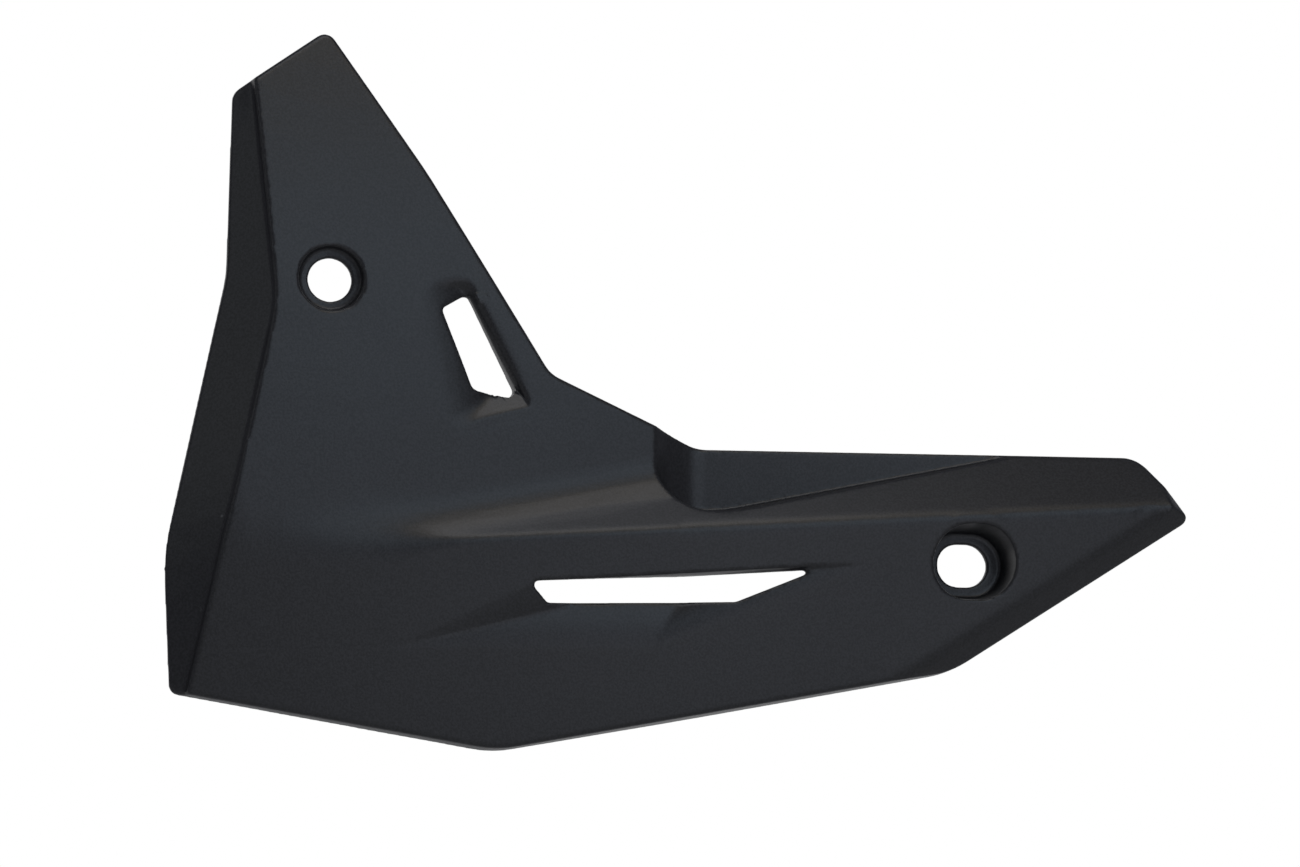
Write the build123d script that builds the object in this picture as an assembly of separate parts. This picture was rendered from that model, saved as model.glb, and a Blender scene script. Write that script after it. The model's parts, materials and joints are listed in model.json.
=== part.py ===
from build123d import *
from math import cos, radians, sin, sqrt, tan
import os

# A motorcycle side fairing: one moulded plastic shell.
# X runs to the panel's pointed end, Z up, and Y from the outer face into the panel, along its two bolts.
# The origin is the centre of the upper bolt hole, on the seat behind it. All sizes are millimetres.

# Wall and mould
wall = 2.5
draft = 4.0
edge_round = 1.0

# Outline, seen along the bolts: corners as (x, z), and the radius that rounds each
apex = (-0.6, 78.6)
shoulder = (30.0, 35.0)
inner_bend = (68.1, -25.5)
landing_start = (115.6, -46.5)
top_end = (255.2, -45.6)
tip = (271.6, -67.3)
lower_bend = (194.4, -115.4)
keel = (52.2, -140.4)
heel = (-45.2, -124.2)
flank_low = (-47.6, -83.0)
flank_high = (-30.4, 1.2)
crown = (-29.4, 57.2)

apex_radius = 4.0
shoulder_radius = 120.0
inner_bend_radius = 9.0
landing_start_radius = 15.0
top_end_radius = 10.0
tip_radius = 3.6
lower_bend_radius = 32.0
keel_radius = 35.0
heel_radius = 3.0
flank_low_radius = 60.0
flank_high_radius = 45.0
crown_radius = 5.0

# Upper face: a gentle crown above crown_start
upper_depth = -7.75
upper_slope = 0.05
crown_start = -48.0
crown_end = 108.0
upper_crown_radius = 751.0

# Ridge between the lower face and the band above it
ridge_depth = -9.1
ridge_slope = -0.04
ridge_height = -80.55
ridge_rise = 0.067
lower_slope = 0.17
band_slope = 0.65
ridge_radius = 4.0
valley_radius = 23.0
soft_start = 10.0
soft_end = 48.0
soft_strip = 9.0

# Places along the panel, and distances above the ridge, that the folded part of the skin is drawn through
skin_columns = [-75, -40, -25, -14, -5, 4, 12, 20, 28, 38, 48, 80, 110, 300]
skin_rows = [
    -90, -9, -6, -4, -2.7, -1.65, -1.1, -0.55, 0, 0.55, 1.1, 1.65, 2.7, 4, 6, 9, 11.5, 14, 16.5, 19.5, 24, 30, 45,
]
inner_skin_rows = [-90, -7, -3, -1.2, 0, 1.2, 3, 6, 9, 12, 16, 22, 45]
ridge_rows_end = 2.0
valley_rows_end = 9.0
valley_fan = 0.1385

# Rear rim, seen from above: two straight runs with a bend
rim_bend_x = 110.0
rim_bend_depth = 9.3
rim_left_slope = 0.018
rim_right_slope = -0.088
rim_bend_radius = 200.0

# Left flank: the crease where it leaves the face, and its step
crease_top = (-22.1, 64.0)
crease_bend = (-16.6, -8.0)
crease_low = (-31.3, -78.0)
crease_bottom = (-42.0, -145.0)
crease_radius = 45.0
crease_corner_radius = 6.0
crease_draft = 12.0
crease_step = 2.5
flank_land = 1.8
flank_heights = [-160, -125, -105, -65, -40, -20, 20, 40, 75]
flank_past_rim = 10.0
flank_past_crease = 8.0

# Landing for the neighbouring panel, under the top edge
landing_left = 100.4
landing_floor_x = 120.0
landing_floor_depth = 4.9
landing_floor_slope = -0.105
landing_ramp_angle = 43.0
landing_ramp_radius = 18.0
landing_bottom = -67.0
landing_corner_radius = 17.0
landing_edge_slope = 0.212
landing_draft = 5.0
landing_wall_inset = 0.9
landing_turn_x = 123.0
landing_turn_radius = 45.0

# Bevels at the pointed end
lower_bevel_angle = 39.0
lower_bevel_depth = -3.3
lower_bevel_depth_slope = -0.13
end_bevel_angle = 52.0
end_bevel_depth = -12.0
lower_bevel_end_x = 177.0
lower_bevel_top_z = -66.0
end_bevel_low_z = -57.0

# Upper vent: a scoop that deepens to the right, and the slot at the foot of its wall
scoop_corners = [(12.0, -8.6), (41.0, 1.0), (63.0, -38.4), (20.0, -48.3)]
scoop_radii = [0, 3.5, 3.5, 0]
scoop_draft = 21.0
scoop_rim_radius = 2.6
scoop_fade_top = (27.5, -4.0)
scoop_fade_low = (36.5, -43.7)
scoop_run = 20.0
scoop_drop = 4.6
upper_slot_corners = [(33.8, -7.6), (40.6, -3.4), (42.4, -3.4), (57.4, -31.7), (54.9, -34.0), (43.6, -31.8)]
upper_slot_radii = [1.2, 0.8, 0.8, 1.6, 1.6, 2.5]

# Lower vent: a louvre hooded by the face above, and the slot under the hood
hood_left = (8.0, -93.5)
hood_right = (175.0, -82.4)
hood_draft = 6.0
louvre_reach = 45.0
louvre_fade_left = (20.0, -110.0)
louvre_fade_turn = (98.0, -109.0)
louvre_fade_right = (162.5, -83.6)
louvre_run = 21.0
louvre_drop = 7.2
louvre_right_run = 9.0
louvre_right_drop = 3.0
louvre_left_run = 15.0
louvre_left_drop = 4.5
ramp_entry = 0.06
lower_slot_corners = [
    (61.7, -91.4), (61.7, -89.6), (145.9, -84.8), (145.6, -86.0), (124.0, -94.7), (66.2, -95.9),
]
lower_slot_radii = [0.8, 0.8, 0.5, 0.5, 3.0, 0.8]

# Bolt cups
hole_radius = 6.6
cup_radius = 9.5
cup_draft = 8.0
lower_bolt = (198.6, -81.5)
lower_hole_travel = 3.0
lower_cup_radius = 10.1
lower_cup_draft = 7.0
lower_cup_travel = 4.8
lower_cup_travel_front = 2.7
cup_front = -20.0

# How finely curves are stepped, and how far the blocks that form the panel reach past it
soft_steps = 12
rim_steps = 4
least_radius = 0.4
flat_enough = 1e-9
recess_reach = 18.0
recess_back = 14.0
recess_front = -24.0
crown_reach = 150.0
ramp_reach = 90.0
landing_ramp_reach = 60.0
block_back = 40.0
block_front = -40.0
face_low = -200.0
face_high = 100.0
FAR = 300.0

# A face is the outline's wall when it leans by the draft, to within lean_spread, and outer beyond outer_lean
lean_spread = 0.003
outer_lean = -0.3


def crown_depth(z, inset):
    """Depth of the upper face at x = 0: level below crown_start, an arc above it."""
    radius = upper_crown_radius - inset
    rise = min(max(z - crown_start, 0.0), radius)
    return upper_depth + upper_crown_radius - sqrt(radius**2 - rise**2)


def skin_formula(x, z, inset):
    """Depth of the folded skin before it is softened: upper face, band and lower face, each moved in."""
    upper = upper_depth + upper_slope * x + inset
    ridge = ridge_depth + ridge_slope * x
    above = z - (ridge_height + ridge_rise * x)
    band = ridge + band_slope * above + inset * sqrt(1 + band_slope**2)
    lower = ridge - lower_slope * above + inset * sqrt(1 + lower_slope**2)
    valley_blend = (valley_radius + inset) * band_slope**2 / 2
    ridge_blend = (ridge_radius - inset) * (band_slope + lower_slope) ** 2 / 2
    return soft_max(lower, soft_min(upper, band, valley_blend), ridge_blend)


def soft_max(a, b, blend):
    """The deeper of two depths, rounded where they lie within blend of each other."""
    return max(a, b) + max(blend - abs(a - b), 0.0) ** 2 / (4 * blend)


def soft_min(a, b, blend):
    return -soft_max(-a, -b, blend)


def smooth_step(value, start, end):
    t = min(max((value - start) / (end - start), 0.0), 1.0)
    return t * t * (3 - 2 * t)


def folded_depth(x, z, inset):
    """Depth of the folded skin: towards the left the ridge melts into the face, over a strip."""
    half = soft_strip * (1 - smooth_step(x, soft_start, soft_end))
    if half == 0:
        return skin_formula(x, z, inset)
    steps = range(-soft_steps, soft_steps + 1)
    weights = [1 - abs(i) / (soft_steps + 1) for i in steps]
    depths = [skin_formula(x, z + half * i / soft_steps, inset) for i in steps]
    return sum(w * d for w, d in zip(weights, depths)) / sum(weights)


def skin_depth(x, z):
    """Depth of the whole skin."""
    if z > crown_start and x < crown_end:
        return crown_depth(z, 0) + upper_slope * x
    return folded_depth(x, z, 0)


def skin_point(x, z):
    return Vector(x, skin_depth(x, z), z)


def skin_line(x, inset):
    """Points of the skin up the panel at one place along it."""
    fan = max(x - soft_end, 0.0) * valley_fan
    points = []
    for row in inner_skin_rows if inset else skin_rows:
        share = min(max((row - ridge_rows_end) / (valley_rows_end - ridge_rows_end), 0.0), 1.0)
        z = ridge_height + ridge_rise * x + row + fan * share
        points.append(Vector(x, folded_depth(x, z, inset), z))
    return points


def facets(corners):
    """A four-cornered patch of skin: one flat face, or two where its corners aren't in a plane."""
    a, b, c, d = corners
    twist = (b - a).cross(d - a).normalized().dot(c - a)
    if abs(twist) < flat_enough:
        return [Face(Wire.make_polygon(corners))]
    return [Face(Wire.make_polygon([a, b, c])), Face(Wire.make_polygon([a, c, d]))]


def folded_block(inset):
    """Everything behind the folded part of the skin, bounded by flat faces."""
    lines = [skin_line(x, inset) for x in skin_columns]
    behind = [[Vector(line[i].X, FAR, line[i].Z) for i in (0, -1)] for line in lines]
    faces = []
    for line, back, next_line, next_back in zip(lines, behind, lines[1:], behind[1:]):
        for low, high, next_low, next_high in zip(line, line[1:], next_line, next_line[1:]):
            faces += facets([low, high, next_high, next_low])
        faces.append(Face(Wire.make_polygon([line[0], next_line[0], next_back[0], back[0]])))
        faces.append(Face(Wire.make_polygon([line[-1], next_line[-1], next_back[1], back[1]])))
        faces.append(Face(Wire.make_polygon([back[0], back[1], next_back[1], next_back[0]])))
    for line, back in ((lines[0], behind[0]), (lines[-1], behind[-1])):
        faces.append(Face(Wire.make_polygon(line + [back[1], back[0]])))
    return Solid(Shell(faces)).clean()


def crown_block(inset):
    """Everything behind the crowned upper part of the skin, above crown_start."""
    start = skin_columns[0]
    heights = [crown_start, crown_start + crown_reach / 2, crown_start + crown_reach]
    low, middle, high = [(start, crown_depth(z, inset) + upper_slope * start, z) for z in heights]
    back = Polyline(high, (start, FAR, high[2]), (start, FAR, low[2]), low)
    section = [ThreePointArc(low, middle, high), back]
    slant = Vector(1, upper_slope, 0)
    return extrude(make_face(Curve() + section), amount=(crown_end - start) * slant.length, dir=slant)


def skin_block(inset):
    """Everything behind the skin."""
    crowned = Pos(crown_end - 2 * FAR, 0, crown_start + FAR) * Box(4 * FAR, 4 * FAR, 2 * FAR)
    return (folded_block(inset) - crowned) + crown_block(inset)


def moved_corners(corners, radii, inset):
    """The corners of a clockwise outline moved inward, with the radii that keep it parallel."""
    moved = []
    moved_radii = []
    for i, (corner, radius) in enumerate(zip(corners, radii)):
        before = Vector(corner) - Vector(corners[i - 1])
        after = Vector(corners[(i + 1) % len(corners)]) - Vector(corner)
        inward_before = Vector(before.Y, -before.X).normalized()
        inward_after = Vector(after.Y, -after.X).normalized()
        bisector = (inward_before + inward_after) / (1 + inward_before.dot(inward_after))
        place = Vector(corner) + bisector * inset
        moved.append((place.X, place.Y))
        turns_in = before.cross(after).Z < 0
        parallel = radius - inset if turns_in else radius + inset
        moved_radii.append(max(parallel, least_radius) if radius else 0)
    return moved, moved_radii


def plan_wire(corners, radii, inset, depth):
    """A closed outline in X and Z at a depth, with rounded corners, moved inward by inset."""
    moved, moved_radii = moved_corners(corners, radii, inset)
    return Pos(0, depth, 0) * (Plane.XZ * FilletPolyline(*moved, radius=moved_radii, close=True)).wire()


def drafted_block(corners, radii, inset, angle, level, back, front):
    """The outline as a block from back to front, true to size at level, narrower to the front by angle."""
    lean = tan(radians(angle))
    ends = [make_face(plan_wire(corners, radii, inset + lean * (level - end), end)) for end in (back, front)]
    return loft(ends, ruled=True)


def outline_block(inset):
    corners = [
        apex, shoulder, inner_bend, landing_start, top_end, tip,
        lower_bend, keel, heel, flank_low, flank_high, crown,
    ]
    radii = [
        apex_radius, shoulder_radius, inner_bend_radius, landing_start_radius, top_end_radius, tip_radius,
        lower_bend_radius, keel_radius, heel_radius, flank_low_radius, flank_high_radius, crown_radius,
    ]
    return drafted_block(corners, radii, inset, draft, rim_bend_depth, block_back, block_front)


def face_block(inset):
    """The raised face: everything to the right of the crease."""
    top_slope = (apex[1] - crown[1]) / (apex[0] - crown[0])
    over_apex = ((face_high - crease_top[1]) / top_slope + crease_top[0], face_high)
    corners = [
        crease_top, over_apex, (FAR, face_high), (FAR, face_low),
        (crease_bottom[0], face_low), crease_bottom, crease_low, crease_bend,
    ]
    radii = [crease_corner_radius, 0, 0, 0, 0, crease_radius, crease_radius, crease_radius]
    return drafted_block(corners, radii, inset, crease_draft, upper_depth, block_back, block_front)


def height_line_x(corners, z):
    """Where a line through corners, listed upward, crosses the height z."""
    for low, high in zip(corners, corners[1:]):
        if z <= high[1]:
            break
    return low[0] + (high[0] - low[0]) * (z - low[1]) / (high[1] - low[1])


def rim_depth(x):
    slope = rim_left_slope if x < rim_bend_x else rim_right_slope
    return rim_bend_depth + slope * (x - rim_bend_x)


def flank_block(inset):
    """The flared flank: a ruled surface from just in front of the rim to the foot of the crease."""
    rim_side = []
    face_side = []
    for z in flank_heights:
        rim_x = height_line_x([heel, flank_low, flank_high, crown], z)
        foot_x = height_line_x([crease_bottom, crease_low, crease_bend, crease_top], z)
        foot_depth = skin_depth(foot_x, z) + crease_step
        foot_x -= crease_step * tan(radians(crease_draft))
        rim_end = Vector(rim_x, rim_depth(rim_x) - flank_land, z)
        foot = Vector(foot_x, foot_depth, z)
        run = (foot - rim_end).normalized()
        into_wall = Vector(-run.Y, run.X, 0) * inset
        rim_side.append(rim_end + into_wall - run * flank_past_rim)
        face_side.append(foot + into_wall + run * flank_past_crease)
    surface = Face.make_surface_from_curves(Spline(*rim_side).edge(), Spline(*face_side).edge())
    return Solid.extrude(surface, (0, FAR, 0))


def front_of_plane(start, end, up, inset):
    """Everything in front of the plane through start and end that climbs along up, moved in by inset."""
    along = Vector(end) - Vector(start)
    normal = along.cross(Vector(up)).normalized()
    if normal.Y > 0:
        normal = normal * -1
    plane = Plane(origin=Vector(start) - normal * inset, x_dir=along.normalized(), z_dir=normal)
    return extrude(plane * Rectangle(3 * FAR, 3 * FAR), amount=FAR)


def inward(start, end):
    """The direction in X and Z that points into the panel from an edge of its clockwise outline."""
    along = Vector(end[0] - start[0], end[1] - start[1]).normalized()
    return Vector(along.Y, 0, -along.X)


def bevel_block(start, start_depth, end, end_depth, angle, inset):
    low = (start[0], start_depth, start[1])
    high = (end[0], end_depth, end[1])
    climb = inward(start, end) - Vector(0, tan(radians(angle)), 0)
    return front_of_plane(low, high, climb, inset)


def bevels(inset):
    tip_depth = lower_bevel_depth + lower_bevel_depth_slope * (tip[0] - lower_bend[0])
    lower = bevel_block(tip, tip_depth, lower_bend, lower_bevel_depth, lower_bevel_angle, inset)
    end = bevel_block(top_end, end_bevel_depth, tip, tip_depth, end_bevel_angle, inset)
    return lower, end


def landing_block(inset):
    """The space taken by the neighbouring panel: a ramp and a floor in top view, within a rounded outline."""
    start_depth = skin_depth(landing_left, landing_start[1])
    ramp = tan(radians(landing_ramp_angle))
    floor_origin = landing_floor_depth - landing_floor_slope * landing_floor_x
    bend_x = (start_depth - ramp * landing_left - floor_origin) / (landing_floor_slope - ramp)
    bend = (bend_x, floor_origin + landing_floor_slope * bend_x)
    ramp_end = (bend_x - landing_ramp_reach, bend[1] - landing_ramp_reach * ramp)
    floor_end = (FAR, floor_origin + landing_floor_slope * FAR)
    top_view = FilletPolyline(
        ramp_end, bend, floor_end, (FAR, -FAR), (ramp_end[0], -FAR),
        radius=[0, landing_ramp_radius, 0, 0, 0], close=True,
    )
    space = offset(make_face(top_view), inset)
    space = extrude(space, amount=FAR, both=True)
    left = landing_left - landing_wall_inset
    corners = [
        (left, face_high), (FAR, face_high),
        (FAR, landing_bottom + landing_edge_slope * (FAR - landing_turn_x)), (landing_turn_x, landing_bottom),
        (left, landing_bottom),
    ]
    radii = [0, 0, 0, landing_turn_radius, landing_corner_radius]
    return space & recess_prism(corners, radii, landing_draft, inset)


def recess_prism(corners, radii, angle, inset):
    """A recess seen from the front, true to size at the skin, wider to the front and grown by inset."""
    return drafted_block(corners, radii, -inset, -angle, upper_depth, recess_back, recess_front)


def ramp_block(start, end, run, drop, inset):
    """Everything in front of a curved ramp that leaves the skin at the line from start to end, and
    lies the depth drop below the skin at the distance run, to the right of that line."""
    low = skin_point(*start)
    along = (skin_point(*end) - low).normalized()
    aside = inward(start, end)
    into = along.cross(skin_point(start[0] + aside.X, start[1] + aside.Z) - low).normalized()
    across = into.cross(along)
    plane = Plane(origin=low, x_dir=across, z_dir=across.cross(into))
    bow = drop - ramp_entry * run
    half_depth = ramp_entry * run / 2 + bow / 4
    end_slope = ramp_entry + 2 * bow / run
    reach = ramp_reach
    before = (-reach, -reach * ramp_entry)
    after = (run + reach, drop + reach * end_slope)
    profile = [
        Line(before, (0, 0)),
        ThreePointArc((0, 0), (run / 2, half_depth), (run, drop)),
        Line((run, drop), after),
        Polyline(after, (run + reach, -reach), (-reach, -reach), before),
    ]
    return extrude(plane * offset(make_face(Curve() + profile), inset), amount=FAR, both=True)


def rim_plane(corners):
    """The plane of the skin through the last three corners, facing out."""
    a, b, c = [skin_point(*corner) for corner in corners[1:]]
    normal = (b - a).cross(c - a).normalized()
    if normal.Y > 0:
        normal = normal * -1
    return Plane(origin=a, x_dir=(1, 0, 0), z_dir=normal)


def rimmed_prism(corners, radii, angle, rim_radius, inset):
    """A recess whose wall leans by angle and meets the skin in a rounded rim."""
    plane = rim_plane(corners)
    flat_corners = [plane.to_local_coords(skin_point(*corner)) for corner in corners]
    lean = radians(angle)
    if inset:
        sections = [(-recess_reach, inset + recess_reach * tan(lean))]
    else:
        tangent = rim_radius * (1 - sin(lean)) / cos(lean)
        sections = [(-recess_reach, tangent)]
        for step in range(rim_steps + 1):
            turn = (radians(90) - lean) * step / rim_steps
            sections.append((rim_radius * (1 - cos(turn)), tangent - rim_radius * sin(turn)))
    sections.append((recess_reach, inset - recess_reach * tan(lean)))
    faces = []
    for depth, grown in sections:
        moved, moved_radii = moved_corners([(v.X, v.Y) for v in flat_corners], radii, -grown)
        outline = FilletPolyline(*moved, radius=moved_radii, close=True)
        faces.append(plane * Pos(0, 0, -depth) * make_face(outline))
    return loft(faces, ruled=True)


def scoop(inset):
    prism = rimmed_prism(scoop_corners, scoop_radii, scoop_draft, scoop_rim_radius, inset)
    return prism & ramp_block(scoop_fade_low, scoop_fade_top, scoop_run, scoop_drop, inset)


def louvre(inset):
    below = [(x, z - louvre_reach) for x, z in (hood_right, hood_left)]
    prism = recess_prism([hood_left, hood_right] + below, [0, 0, 0, 0], hood_draft, inset)
    main = ramp_block(louvre_fade_turn, louvre_fade_left, louvre_run, louvre_drop, inset)
    right = ramp_block(louvre_fade_right, louvre_fade_turn, louvre_right_run, louvre_right_drop, inset)
    left = ramp_block(louvre_fade_left, lower_slot_corners[1], louvre_left_run, louvre_left_drop, inset)
    return prism & main & right & left


def body(inset):
    """The panel as if solid, without cups and holes: its outer form, or its hollow when inset by the wall."""
    panel = outline_block(inset) & skin_block(inset)
    whole = (panel & face_block(inset)) + (panel & flank_block(inset))
    lower, end = bevels(inset)
    return whole - lower - end - landing_block(inset) - scoop(inset) - louvre(inset)


def outline_edges(panel):
    """Edges between the outline's wall and the outer face, with their middles."""
    joined = {}
    for face in panel.faces():
        for edge in face.edges():
            joined.setdefault(edge, []).append(face)
    found = []
    for edge, faces in joined.items():
        middle = edge.position_at(0.5)
        leans = [face.normal_at(middle).Y for face in faces]
        walls = [lean for lean in leans if abs(lean + sin(radians(draft))) < lean_spread]
        if len(walls) == 1 and min(leans) < outer_lean:
            found.append((edge, middle))
    return found


def rounded(panel):
    """The panel with its outer edge rounded, all but the edge along the landing and the end bevel's."""
    chains = [
        lambda x, z: crease_top[0] < x < landing_left and z > landing_start[1],
        lambda x, z: x < crease_top[0] - crease_step or (x < lower_bevel_end_x and z < flank_low[1]),
        lambda x, z: x > lower_bevel_end_x and z < lower_bevel_top_z,
        lambda x, z: x > top_end[0] - top_end_radius / 2 and z > end_bevel_low_z,
    ]
    for belongs in chains:
        chain = [edge for edge, middle in outline_edges(panel) if belongs(middle.X, middle.Z)]
        panel = panel.fillet(edge_round, chain)
    return panel


def behind_rim():
    """Everything behind the rear rim."""
    left = (-FAR, rim_depth(-FAR))
    right = (2 * FAR, rim_depth(2 * FAR))
    top_view = FilletPolyline(
        left, (rim_bend_x, rim_bend_depth), right, (2 * FAR, FAR), (-FAR, FAR),
        radius=[0, rim_bend_radius, 0, 0, 0], close=True,
    )
    return extrude(make_face(top_view), amount=FAR, both=True)


def slotted_disc(bolt, radius, travel, depth):
    """A round or slotted shape about a bolt, facing the viewer, at a depth."""
    shape = Circle(radius) if travel == 0 else SlotCenterToCenter(travel, 2 * radius)
    return Plane.XZ * Pos(bolt[0], bolt[1], -depth) * shape


def cup(bolt, radius, travels, angle, depth):
    """A tapered cup from its floor at depth, wider to the front, with the travels of floor and front."""
    wide = radius + (depth - cup_front) * tan(radians(angle))
    ends = [slotted_disc(bolt, radius, travels[0], depth), slotted_disc(bolt, wide, travels[1], cup_front)]
    return loft(ends, ruled=True)


def slot_hole(corners, radii):
    return drafted_block(corners, radii, 0, 0, 0, block_back, block_front)


def bolt_cups():
    """Each bolt cup as its outside, its inside and its hole."""
    lower_travels = (lower_cup_travel, lower_cup_travel_front)
    cups = [
        ((0, 0), cup_radius, (0, 0), 0, cup_draft),
        (lower_bolt, lower_cup_radius, lower_travels, lower_hole_travel, lower_cup_draft),
    ]
    outsides = []
    cuts = []
    for bolt, radius, travels, hole_travel, angle in cups:
        outsides.append(cup(bolt, radius + wall, travels, angle, 0))
        cuts.append(cup(bolt, radius, travels, angle, -wall))
        cuts.append(extrude(slotted_disc(bolt, hole_radius, hole_travel, block_back), amount=2 * block_back))
    return outsides, cuts


outsides, cuts = bolt_cups()
shell = rounded(body(0)) - behind_rim() - (body(wall) - outsides)
shell = shell - cuts - slot_hole(upper_slot_corners, upper_slot_radii)
shell = shell - slot_hole(lower_slot_corners, lower_slot_radii)

os.makedirs("parts", exist_ok=True)
export_step(shell, "parts/fairing_panel.step")
print("solids", len(shell.solids()), "faces", len(shell.faces()), "volume", round(shell.volume))
print("valid", shell.is_valid)
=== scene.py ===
import json
import math

import bpy
from mathutils import Matrix, Vector

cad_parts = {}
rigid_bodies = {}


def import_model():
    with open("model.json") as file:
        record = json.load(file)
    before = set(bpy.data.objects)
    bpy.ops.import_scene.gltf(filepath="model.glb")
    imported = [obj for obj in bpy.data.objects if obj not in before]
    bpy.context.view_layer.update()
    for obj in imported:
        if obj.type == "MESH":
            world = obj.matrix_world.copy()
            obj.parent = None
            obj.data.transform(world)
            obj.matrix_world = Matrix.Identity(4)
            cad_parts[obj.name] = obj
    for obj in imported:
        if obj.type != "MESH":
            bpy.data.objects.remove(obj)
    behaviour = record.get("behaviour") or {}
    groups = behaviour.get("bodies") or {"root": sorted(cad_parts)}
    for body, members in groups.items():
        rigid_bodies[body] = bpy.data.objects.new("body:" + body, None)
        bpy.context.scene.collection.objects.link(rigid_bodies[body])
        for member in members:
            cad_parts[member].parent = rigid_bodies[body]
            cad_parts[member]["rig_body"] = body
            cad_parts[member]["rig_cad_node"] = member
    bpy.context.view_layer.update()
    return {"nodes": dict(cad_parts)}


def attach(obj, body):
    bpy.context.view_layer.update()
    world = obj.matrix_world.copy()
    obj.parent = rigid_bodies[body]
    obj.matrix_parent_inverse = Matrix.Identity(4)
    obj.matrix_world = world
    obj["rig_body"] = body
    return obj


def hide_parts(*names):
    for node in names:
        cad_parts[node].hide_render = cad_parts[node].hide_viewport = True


# The side fairing's looks. Metres, in the frame of the part: X to its pointed end, Z up,
# Y from the outer face into the panel.
MM = 0.001

# Moulded edges: the mesh is merged, rebuilt in even cells, and relaxed until its edges are round
MERGE_DISTANCE = 0.002 * MM
CELL = 0.5 * MM
RELAX = 0.5
RELAX_ROUNDS = 8
TRIANGLES_KEPT = 180000
SMOOTH_ANGLE = math.radians(60)

# Folds of the outer face that are softer than its other edges, in millimetres: the two ends of
# each as (x, z), how far it reaches, and its rounds of smoothing
SOFT_FOLDS = [
    ((110, -73.2), (256, -63.4), 5.0, 60),  # the long ridge
    ((255, -68.5), (180, -114.8), 6.0, 90),  # the lower bevel's inner edge
    ((37, -43.0), (59, -36.6), 3.0, 20),  # the lower edge of the scoop's ramp
    ((38, -42.0), (48.5, -34.5), 3.0, 50),  # the ramp's left border
    ((47, -6.0), (62.5, -36.0), 1.8, 60),  # right of the scoop, where its wall was filled
    ((24, -6.0), (41, 1.2), 4.0, 40),  # the scoop's top
]
LOWER_BOLT_X = 198.6
LOWER_BOLT_Z = -81.5
LOWER_CUP_REACH = 15.5
FACES_FRONT = -0.4

# The upper vent's scoop, in millimetres. Within these limits its floor rises to a ramp at its lower
# edge and to a steep wall at its right. FACES_OUT is the Y of the normals that take part.
SCOOP_LEFT = 36.0
SCOOP_RIGHT = 64.0
SCOOP_LOW = -46.0
SCOOP_TOP = -2.5
SCOOP_PAST_WALL = 3.6
FACES_OUT = -0.15

# Planes of depth there: the depth at one point (x, z), then the slopes along X and along Z
SKIN_ABOVE = (-4.70, 59.0, -36.6, 0.0448, 0.0338)
SKIN_BELOW = (-4.66, 60.0, 0.0, 0.053, 0.0)
RAMP = (-5.8, 37.3, -42.8, -0.07, 0.453)

# The top edge of the scoop's right wall: a point on it, its direction to the right, square to it,
# and the slope of the wall below it
WALL_TOP_X = 43.6
WALL_TOP_Z = -2.7
WALL_ACROSS_X = 0.886
WALL_ACROSS_Z = 0.463
WALL_SLOPE = 2.6

# The photograph's camera
EYE = Vector((-158.5, -1027.3, -182.7)) * MM
TOWARDS_EYE = Vector((-0.251, -1.0, -0.136))
SENSOR_WIDTH = 36.0
LENS = 96.92
NEAREST_SEEN = 0.05
FURTHEST_SEEN = 50

# The plastic: its tone between the grain and on it, and its fine grain
BLACK_PLASTIC = (0.024, 0.024, 0.025, 1)
GRAIN_PALE = (0.040, 0.040, 0.042, 1)
GRAIN_SIZE = 0.7 * MM
GRAIN_DETAIL = 2.0
GRAIN_DEPTH = 0.05 * MM
GRAIN_STRENGTH = 0.45
GRAIN_FROM = 0.38
GRAIN_TO = 0.62
PLASTIC_IOR = 1.5

# Its roughness drifts between these two, in clouds some centimetres wide
CLOUDS_PER_METRE = 22.0
CLOUD_DETAIL = 4.0
SHINIEST = 0.27
DULLEST = 0.34

# A pale speck on the flank, beside the crease
SPECK_PALE = (0.16, 0.16, 0.16, 1)
SPECK_PLACE = Vector((-31.6, -5.3, -72.3)) * MM
SPECK_RADIUS = 0.6 * MM

# The stage: a floor and a backdrop, each with the share of its white that the plastic's gloss sees
WHITE = (1, 1, 1, 1)
STAGE_GREY = (0.8, 0.8, 0.8, 1)
STAGE_ROUGHNESS = 0.9
FLOOR_HEIGHT = -0.62
FLOOR_WIDTH = 8.0
FLOOR_IN_GLOSS = 0.15
BACKDROP_WIDTH = 5.0
BACKDROP_PLACE = 2.2
BACKDROP_IN_GLOSS = 0.5

# The softboxes stand round the panel's middle: turned to the right of its front by the first angle,
# raised by the second, with their power and colour
PANEL_MIDDLE = Vector((0.11, 0, -0.03))
SOFTBOX_DISTANCE = 1.3
SOFTBOX_SIZE = 0.6
SOFTBOXES = [
    ("overhead", 0, 58, 1.55, (0.88, 0.92, 1.0)),
    ("overhead_warm", 14, 48, 0.80, (1.0, 0.84, 0.58)),
    ("front_high", 14, 20, 1.25, (0.71, 0.85, 1.0)),
    ("front", 14, -8, 0.78, (0.81, 0.87, 1.0)),
    ("left", -70, 20, 0.30, (0.93, 1.0, 0.98)),
]
ROOM_LIGHT = 0.13
ROOM_COLOUR = (0.83, 0.85, 1.0, 1)


def only(piece):
    """Selects one piece and nothing else."""
    bpy.ops.object.select_all(action="DESELECT")
    piece.select_set(True)
    bpy.context.view_layer.objects.active = piece


def apply_modifier(piece, name, kind, **settings):
    only(piece)
    modifier = piece.modifiers.new(name, kind)
    for setting, value in settings.items():
        setattr(modifier, setting, value)
    bpy.ops.object.modifier_apply(modifier=name)


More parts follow.
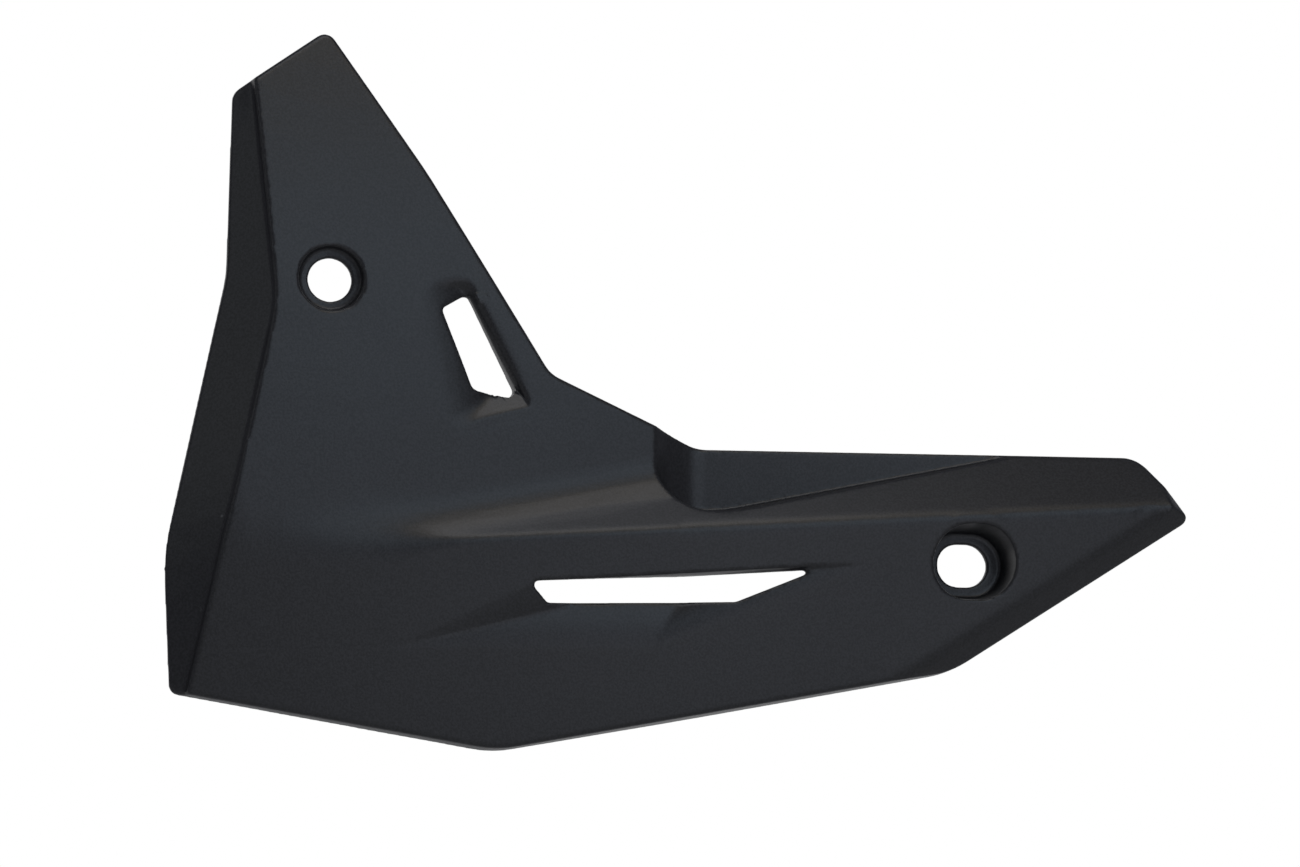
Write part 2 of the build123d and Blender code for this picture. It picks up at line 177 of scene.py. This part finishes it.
def distance_to_line(x, z, start, end):
    """How far a point lies from the line between two others, ends included."""
    along_x = end[0] - start[0]
    along_z = end[1] - start[1]
    share = ((x - start[0]) * along_x + (z - start[1]) * along_z) / (along_x**2 + along_z**2)
    share = min(max(share, 0.0), 1.0)
    return math.hypot(x - start[0] - share * along_x, z - start[1] - share * along_z)


def soften(piece, start, end, reach, rounds):
    """Smooths the outer face along one fold, and leaves the lower bolt cup as it is."""
    low_x = min(start[0], end[0]) - reach
    high_x = max(start[0], end[0]) + reach
    chosen = []
    for i, vertex in enumerate(piece.data.vertices):
        x = vertex.co.x / MM
        if low_x < x < high_x and vertex.normal.y < FACES_FRONT:
            z = vertex.co.z / MM
            on_cup = math.hypot(x - LOWER_BOLT_X, z - LOWER_BOLT_Z) < LOWER_CUP_REACH
            if not on_cup and distance_to_line(x, z, start, end) < reach:
                chosen.append(i)
    group = piece.vertex_groups.new(name="fold")
    group.add(chosen, 1.0, "REPLACE")
    apply_modifier(
        piece, "soften", "SMOOTH", factor=RELAX, iterations=rounds, vertex_group="fold"
    )
    piece.vertex_groups.clear()


def past_wall(x, z):
    """How far a point lies to the right of the top edge of the scoop's right wall."""
    return WALL_ACROSS_X * (x - WALL_TOP_X) + WALL_ACROSS_Z * (z - WALL_TOP_Z)


def plane_depth(plane, x, z):
    depth, at_x, at_z, slope_x, slope_z = plane
    return depth + slope_x * (x - at_x) + slope_z * (z - at_z)


def scoop_limit(x, z):
    """The greatest depth that the scoop has over (x, z), all in millimetres."""
    skin = max(plane_depth(SKIN_ABOVE, x, z), plane_depth(SKIN_BELOW, x, z))
    wall = skin - WALL_SLOPE * past_wall(x, z)
    return max(skin, min(plane_depth(RAMP, x, z), wall))


def shape_scoop(piece):
    """Raises the scoop's floor to its ramp and to its steep right wall."""
    inside = []
    for vertex in piece.data.vertices:
        x = vertex.co.x / MM
        z = vertex.co.z / MM
        within = SCOOP_LEFT < x < SCOOP_RIGHT and SCOOP_LOW < z < SCOOP_TOP
        if within and past_wall(x, z) < SCOOP_PAST_WALL and vertex.normal.y < FACES_OUT:
            inside.append(vertex)
    for vertex in inside:
        limit = scoop_limit(vertex.co.x / MM, vertex.co.z / MM)
        vertex.co.y = min(vertex.co.y, limit * MM)
    piece.data.update()


def moulded_panel(node):
    """The panel with the rounded edges of a moulding, made from a copy of its CAD node."""
    piece = node.copy()
    piece.data = node.data.copy()
    piece.name = "fairing_shell"
    piece.data.name = "fairing_shell"
    piece.parent = None
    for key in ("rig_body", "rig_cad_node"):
        if key in piece:
            del piece[key]
    bpy.context.scene.collection.objects.link(piece)
    only(piece)
    bpy.ops.object.mode_set(mode="EDIT")
    bpy.ops.mesh.select_all(action="SELECT")
    bpy.ops.mesh.remove_doubles(threshold=MERGE_DISTANCE)
    bpy.ops.object.mode_set(mode="OBJECT")
    apply_modifier(piece, "even_cells", "REMESH", mode="VOXEL", voxel_size=CELL, adaptivity=0)
    apply_modifier(piece, "relax", "SMOOTH", factor=RELAX, iterations=RELAX_ROUNDS)
    shape_scoop(piece)
    for start, end, reach, rounds in SOFT_FOLDS:
        soften(piece, start, end, reach, rounds)
    triangles = 2 * len(piece.data.polygons)
    apply_modifier(piece, "thin_out", "DECIMATE", ratio=TRIANGLES_KEPT / triangles)
    bpy.ops.object.shade_smooth_by_angle(angle=SMOOTH_ANGLE)
    return piece


def black_plastic():
    """Black plastic moulded against a finely etched tool: satin, with a fine grain."""
    material = bpy.data.materials.new("black_plastic")
    material.use_nodes = True
    tree = material.node_tree
    nodes = tree.nodes
    links = tree.links
    surface = nodes["Principled BSDF"]
    surface.inputs["IOR"].default_value = PLASTIC_IOR

    place = nodes.new("ShaderNodeTexCoord")
    grain = nodes.new("ShaderNodeTexNoise")
    grain.inputs["Scale"].default_value = 1 / GRAIN_SIZE
    grain.inputs["Detail"].default_value = GRAIN_DETAIL
    links.new(place.outputs["Object"], grain.inputs["Vector"])

    bump = nodes.new("ShaderNodeBump")
    bump.inputs["Strength"].default_value = GRAIN_STRENGTH
    bump.inputs["Distance"].default_value = GRAIN_DEPTH
    links.new(grain.outputs["Fac"], bump.inputs["Height"])
    links.new(bump.outputs["Normal"], surface.inputs["Normal"])

    cloud = nodes.new("ShaderNodeTexNoise")
    cloud.inputs["Scale"].default_value = CLOUDS_PER_METRE
    cloud.inputs["Detail"].default_value = CLOUD_DETAIL
    links.new(place.outputs["Object"], cloud.inputs["Vector"])

    speckle = nodes.new("ShaderNodeMapRange")
    speckle.inputs["From Min"].default_value = GRAIN_FROM
    speckle.inputs["From Max"].default_value = GRAIN_TO
    links.new(grain.outputs["Fac"], speckle.inputs["Value"])

    tone = nodes.new("ShaderNodeMix")
    tone.data_type = "RGBA"
    tone.inputs["A"].default_value = BLACK_PLASTIC
    tone.inputs["B"].default_value = GRAIN_PALE
    links.new(speckle.outputs["Result"], tone.inputs["Factor"])

    away = nodes.new("ShaderNodeVectorMath")
    away.operation = "DISTANCE"
    away.inputs[1].default_value = SPECK_PLACE
    links.new(place.outputs["Object"], away.inputs[0])
    fade = nodes.new("ShaderNodeMapRange")
    fade.inputs["From Min"].default_value = SPECK_RADIUS
    fade.inputs["From Max"].default_value = 0.0
    links.new(away.outputs["Value"], fade.inputs["Value"])
    speck = nodes.new("ShaderNodeMix")
    speck.data_type = "RGBA"
    speck.inputs["B"].default_value = SPECK_PALE
    links.new(fade.outputs["Result"], speck.inputs["Factor"])
    links.new(tone.outputs["Result"], speck.inputs["A"])
    links.new(speck.outputs["Result"], surface.inputs["Base Color"])

    sheen = nodes.new("ShaderNodeMapRange")
    sheen.inputs["To Min"].default_value = SHINIEST
    sheen.inputs["To Max"].default_value = DULLEST
    links.new(cloud.outputs["Fac"], sheen.inputs["Value"])
    links.new(sheen.outputs["Result"], surface.inputs["Roughness"])
    return material


def dress(piece, material):
    piece.data.materials.clear()
    piece.data.materials.append(material)


def white_stage(name, in_gloss):
    """White to the camera and in part to the gloss, and a plain pale surface to other light."""
    material = bpy.data.materials.new(name)
    material.use_nodes = True
    tree = material.node_tree
    nodes = tree.nodes
    links = tree.links
    surface = nodes["Principled BSDF"]
    surface.inputs["Base Color"].default_value = STAGE_GREY
    surface.inputs["Roughness"].default_value = STAGE_ROUGHNESS
    glow = nodes.new("ShaderNodeEmission")
    glow.inputs["Color"].default_value = WHITE
    glow.inputs["Strength"].default_value = 1.0
    path = nodes.new("ShaderNodeLightPath")
    seen = nodes.new("ShaderNodeMath")
    seen.operation = "MULTIPLY_ADD"
    seen.inputs[1].default_value = in_gloss
    links.new(path.outputs["Is Glossy Ray"], seen.inputs[0])
    links.new(path.outputs["Is Camera Ray"], seen.inputs[2])
    mix = nodes.new("ShaderNodeMixShader")
    links.new(seen.outputs["Value"], mix.inputs["Fac"])
    links.new(surface.outputs["BSDF"], mix.inputs[1])
    links.new(glow.outputs["Emission"], mix.inputs[2])
    links.new(mix.outputs["Shader"], nodes["Material Output"].inputs["Surface"])
    return material


def stage():
    """The white floor and the white backdrop."""
    bpy.ops.mesh.primitive_plane_add(size=FLOOR_WIDTH, location=(0, 0, FLOOR_HEIGHT))
    floor = bpy.context.object
    floor.name = "floor"
    bpy.ops.mesh.primitive_plane_add(
        size=BACKDROP_WIDTH, location=(0, BACKDROP_PLACE, 0), rotation=(math.radians(90), 0, 0)
    )
    backdrop = bpy.context.object
    backdrop.name = "backdrop"
    dress(floor, white_stage("white_floor", FLOOR_IN_GLOSS))
    dress(backdrop, white_stage("white_backdrop", BACKDROP_IN_GLOSS))


def softbox(name, turned, raised, power, colour):
    """A square light that faces the panel's middle."""
    light = bpy.data.lights.new(name, "AREA")
    light.shape = "SQUARE"
    light.size = SOFTBOX_SIZE
    light.energy = power
    light.color = colour
    lamp = bpy.data.objects.new(name, light)
    bpy.context.scene.collection.objects.link(lamp)
    turned = math.radians(turned)
    raised = math.radians(raised)
    level = math.cos(raised)
    away = Vector((math.sin(turned) * level, -math.cos(turned) * level, math.sin(raised)))
    lamp.location = PANEL_MIDDLE + away * SOFTBOX_DISTANCE
    lamp.rotation_euler = (-away).to_track_quat("-Z", "Y").to_euler()


def lights():
    """The softboxes, and a world that is a dim room to light and white to the camera."""
    for name, turned, raised, power, colour in SOFTBOXES:
        softbox(name, turned, raised, power, colour)
    world = bpy.data.worlds.new("studio")
    bpy.context.scene.world = world
    world.use_nodes = True
    tree = world.node_tree
    room = tree.nodes["Background"]
    room.inputs["Color"].default_value = ROOM_COLOUR
    room.inputs["Strength"].default_value = ROOM_LIGHT
    behind = tree.nodes.new("ShaderNodeBackground")
    behind.inputs["Color"].default_value = WHITE
    behind.inputs["Strength"].default_value = 1.0
    path = tree.nodes.new("ShaderNodeLightPath")
    mix = tree.nodes.new("ShaderNodeMixShader")
    tree.links.new(path.outputs["Is Camera Ray"], mix.inputs["Fac"])
    tree.links.new(room.outputs["Background"], mix.inputs[1])
    tree.links.new(behind.outputs["Background"], mix.inputs[2])
    tree.links.new(mix.outputs["Shader"], tree.nodes["World Output"].inputs["Surface"])


def camera():
    """Stands where the photograph was taken from."""
    data = bpy.data.cameras.new("camera")
    data.sensor_width = SENSOR_WIDTH
    data.lens = LENS
    data.clip_start = NEAREST_SEEN
    data.clip_end = FURTHEST_SEEN
    eye = bpy.data.objects.new("camera", data)
    bpy.context.scene.collection.objects.link(eye)
    back = TOWARDS_EYE.normalized()
    right = Vector((0, 0, 1)).cross(back).normalized()
    up = back.cross(right)
    turn = Matrix((right, up, back)).transposed().to_4x4()
    eye.matrix_world = Matrix.Translation(EYE) @ turn
    bpy.context.scene.camera = eye


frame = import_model()
bpy.context.scene.view_settings.view_transform = "Standard"

camera()
panel = moulded_panel(frame["nodes"]["fairing_panel"])
dress(panel, black_plastic())
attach(panel, "root")
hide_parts("fairing_panel")
stage()
lights()
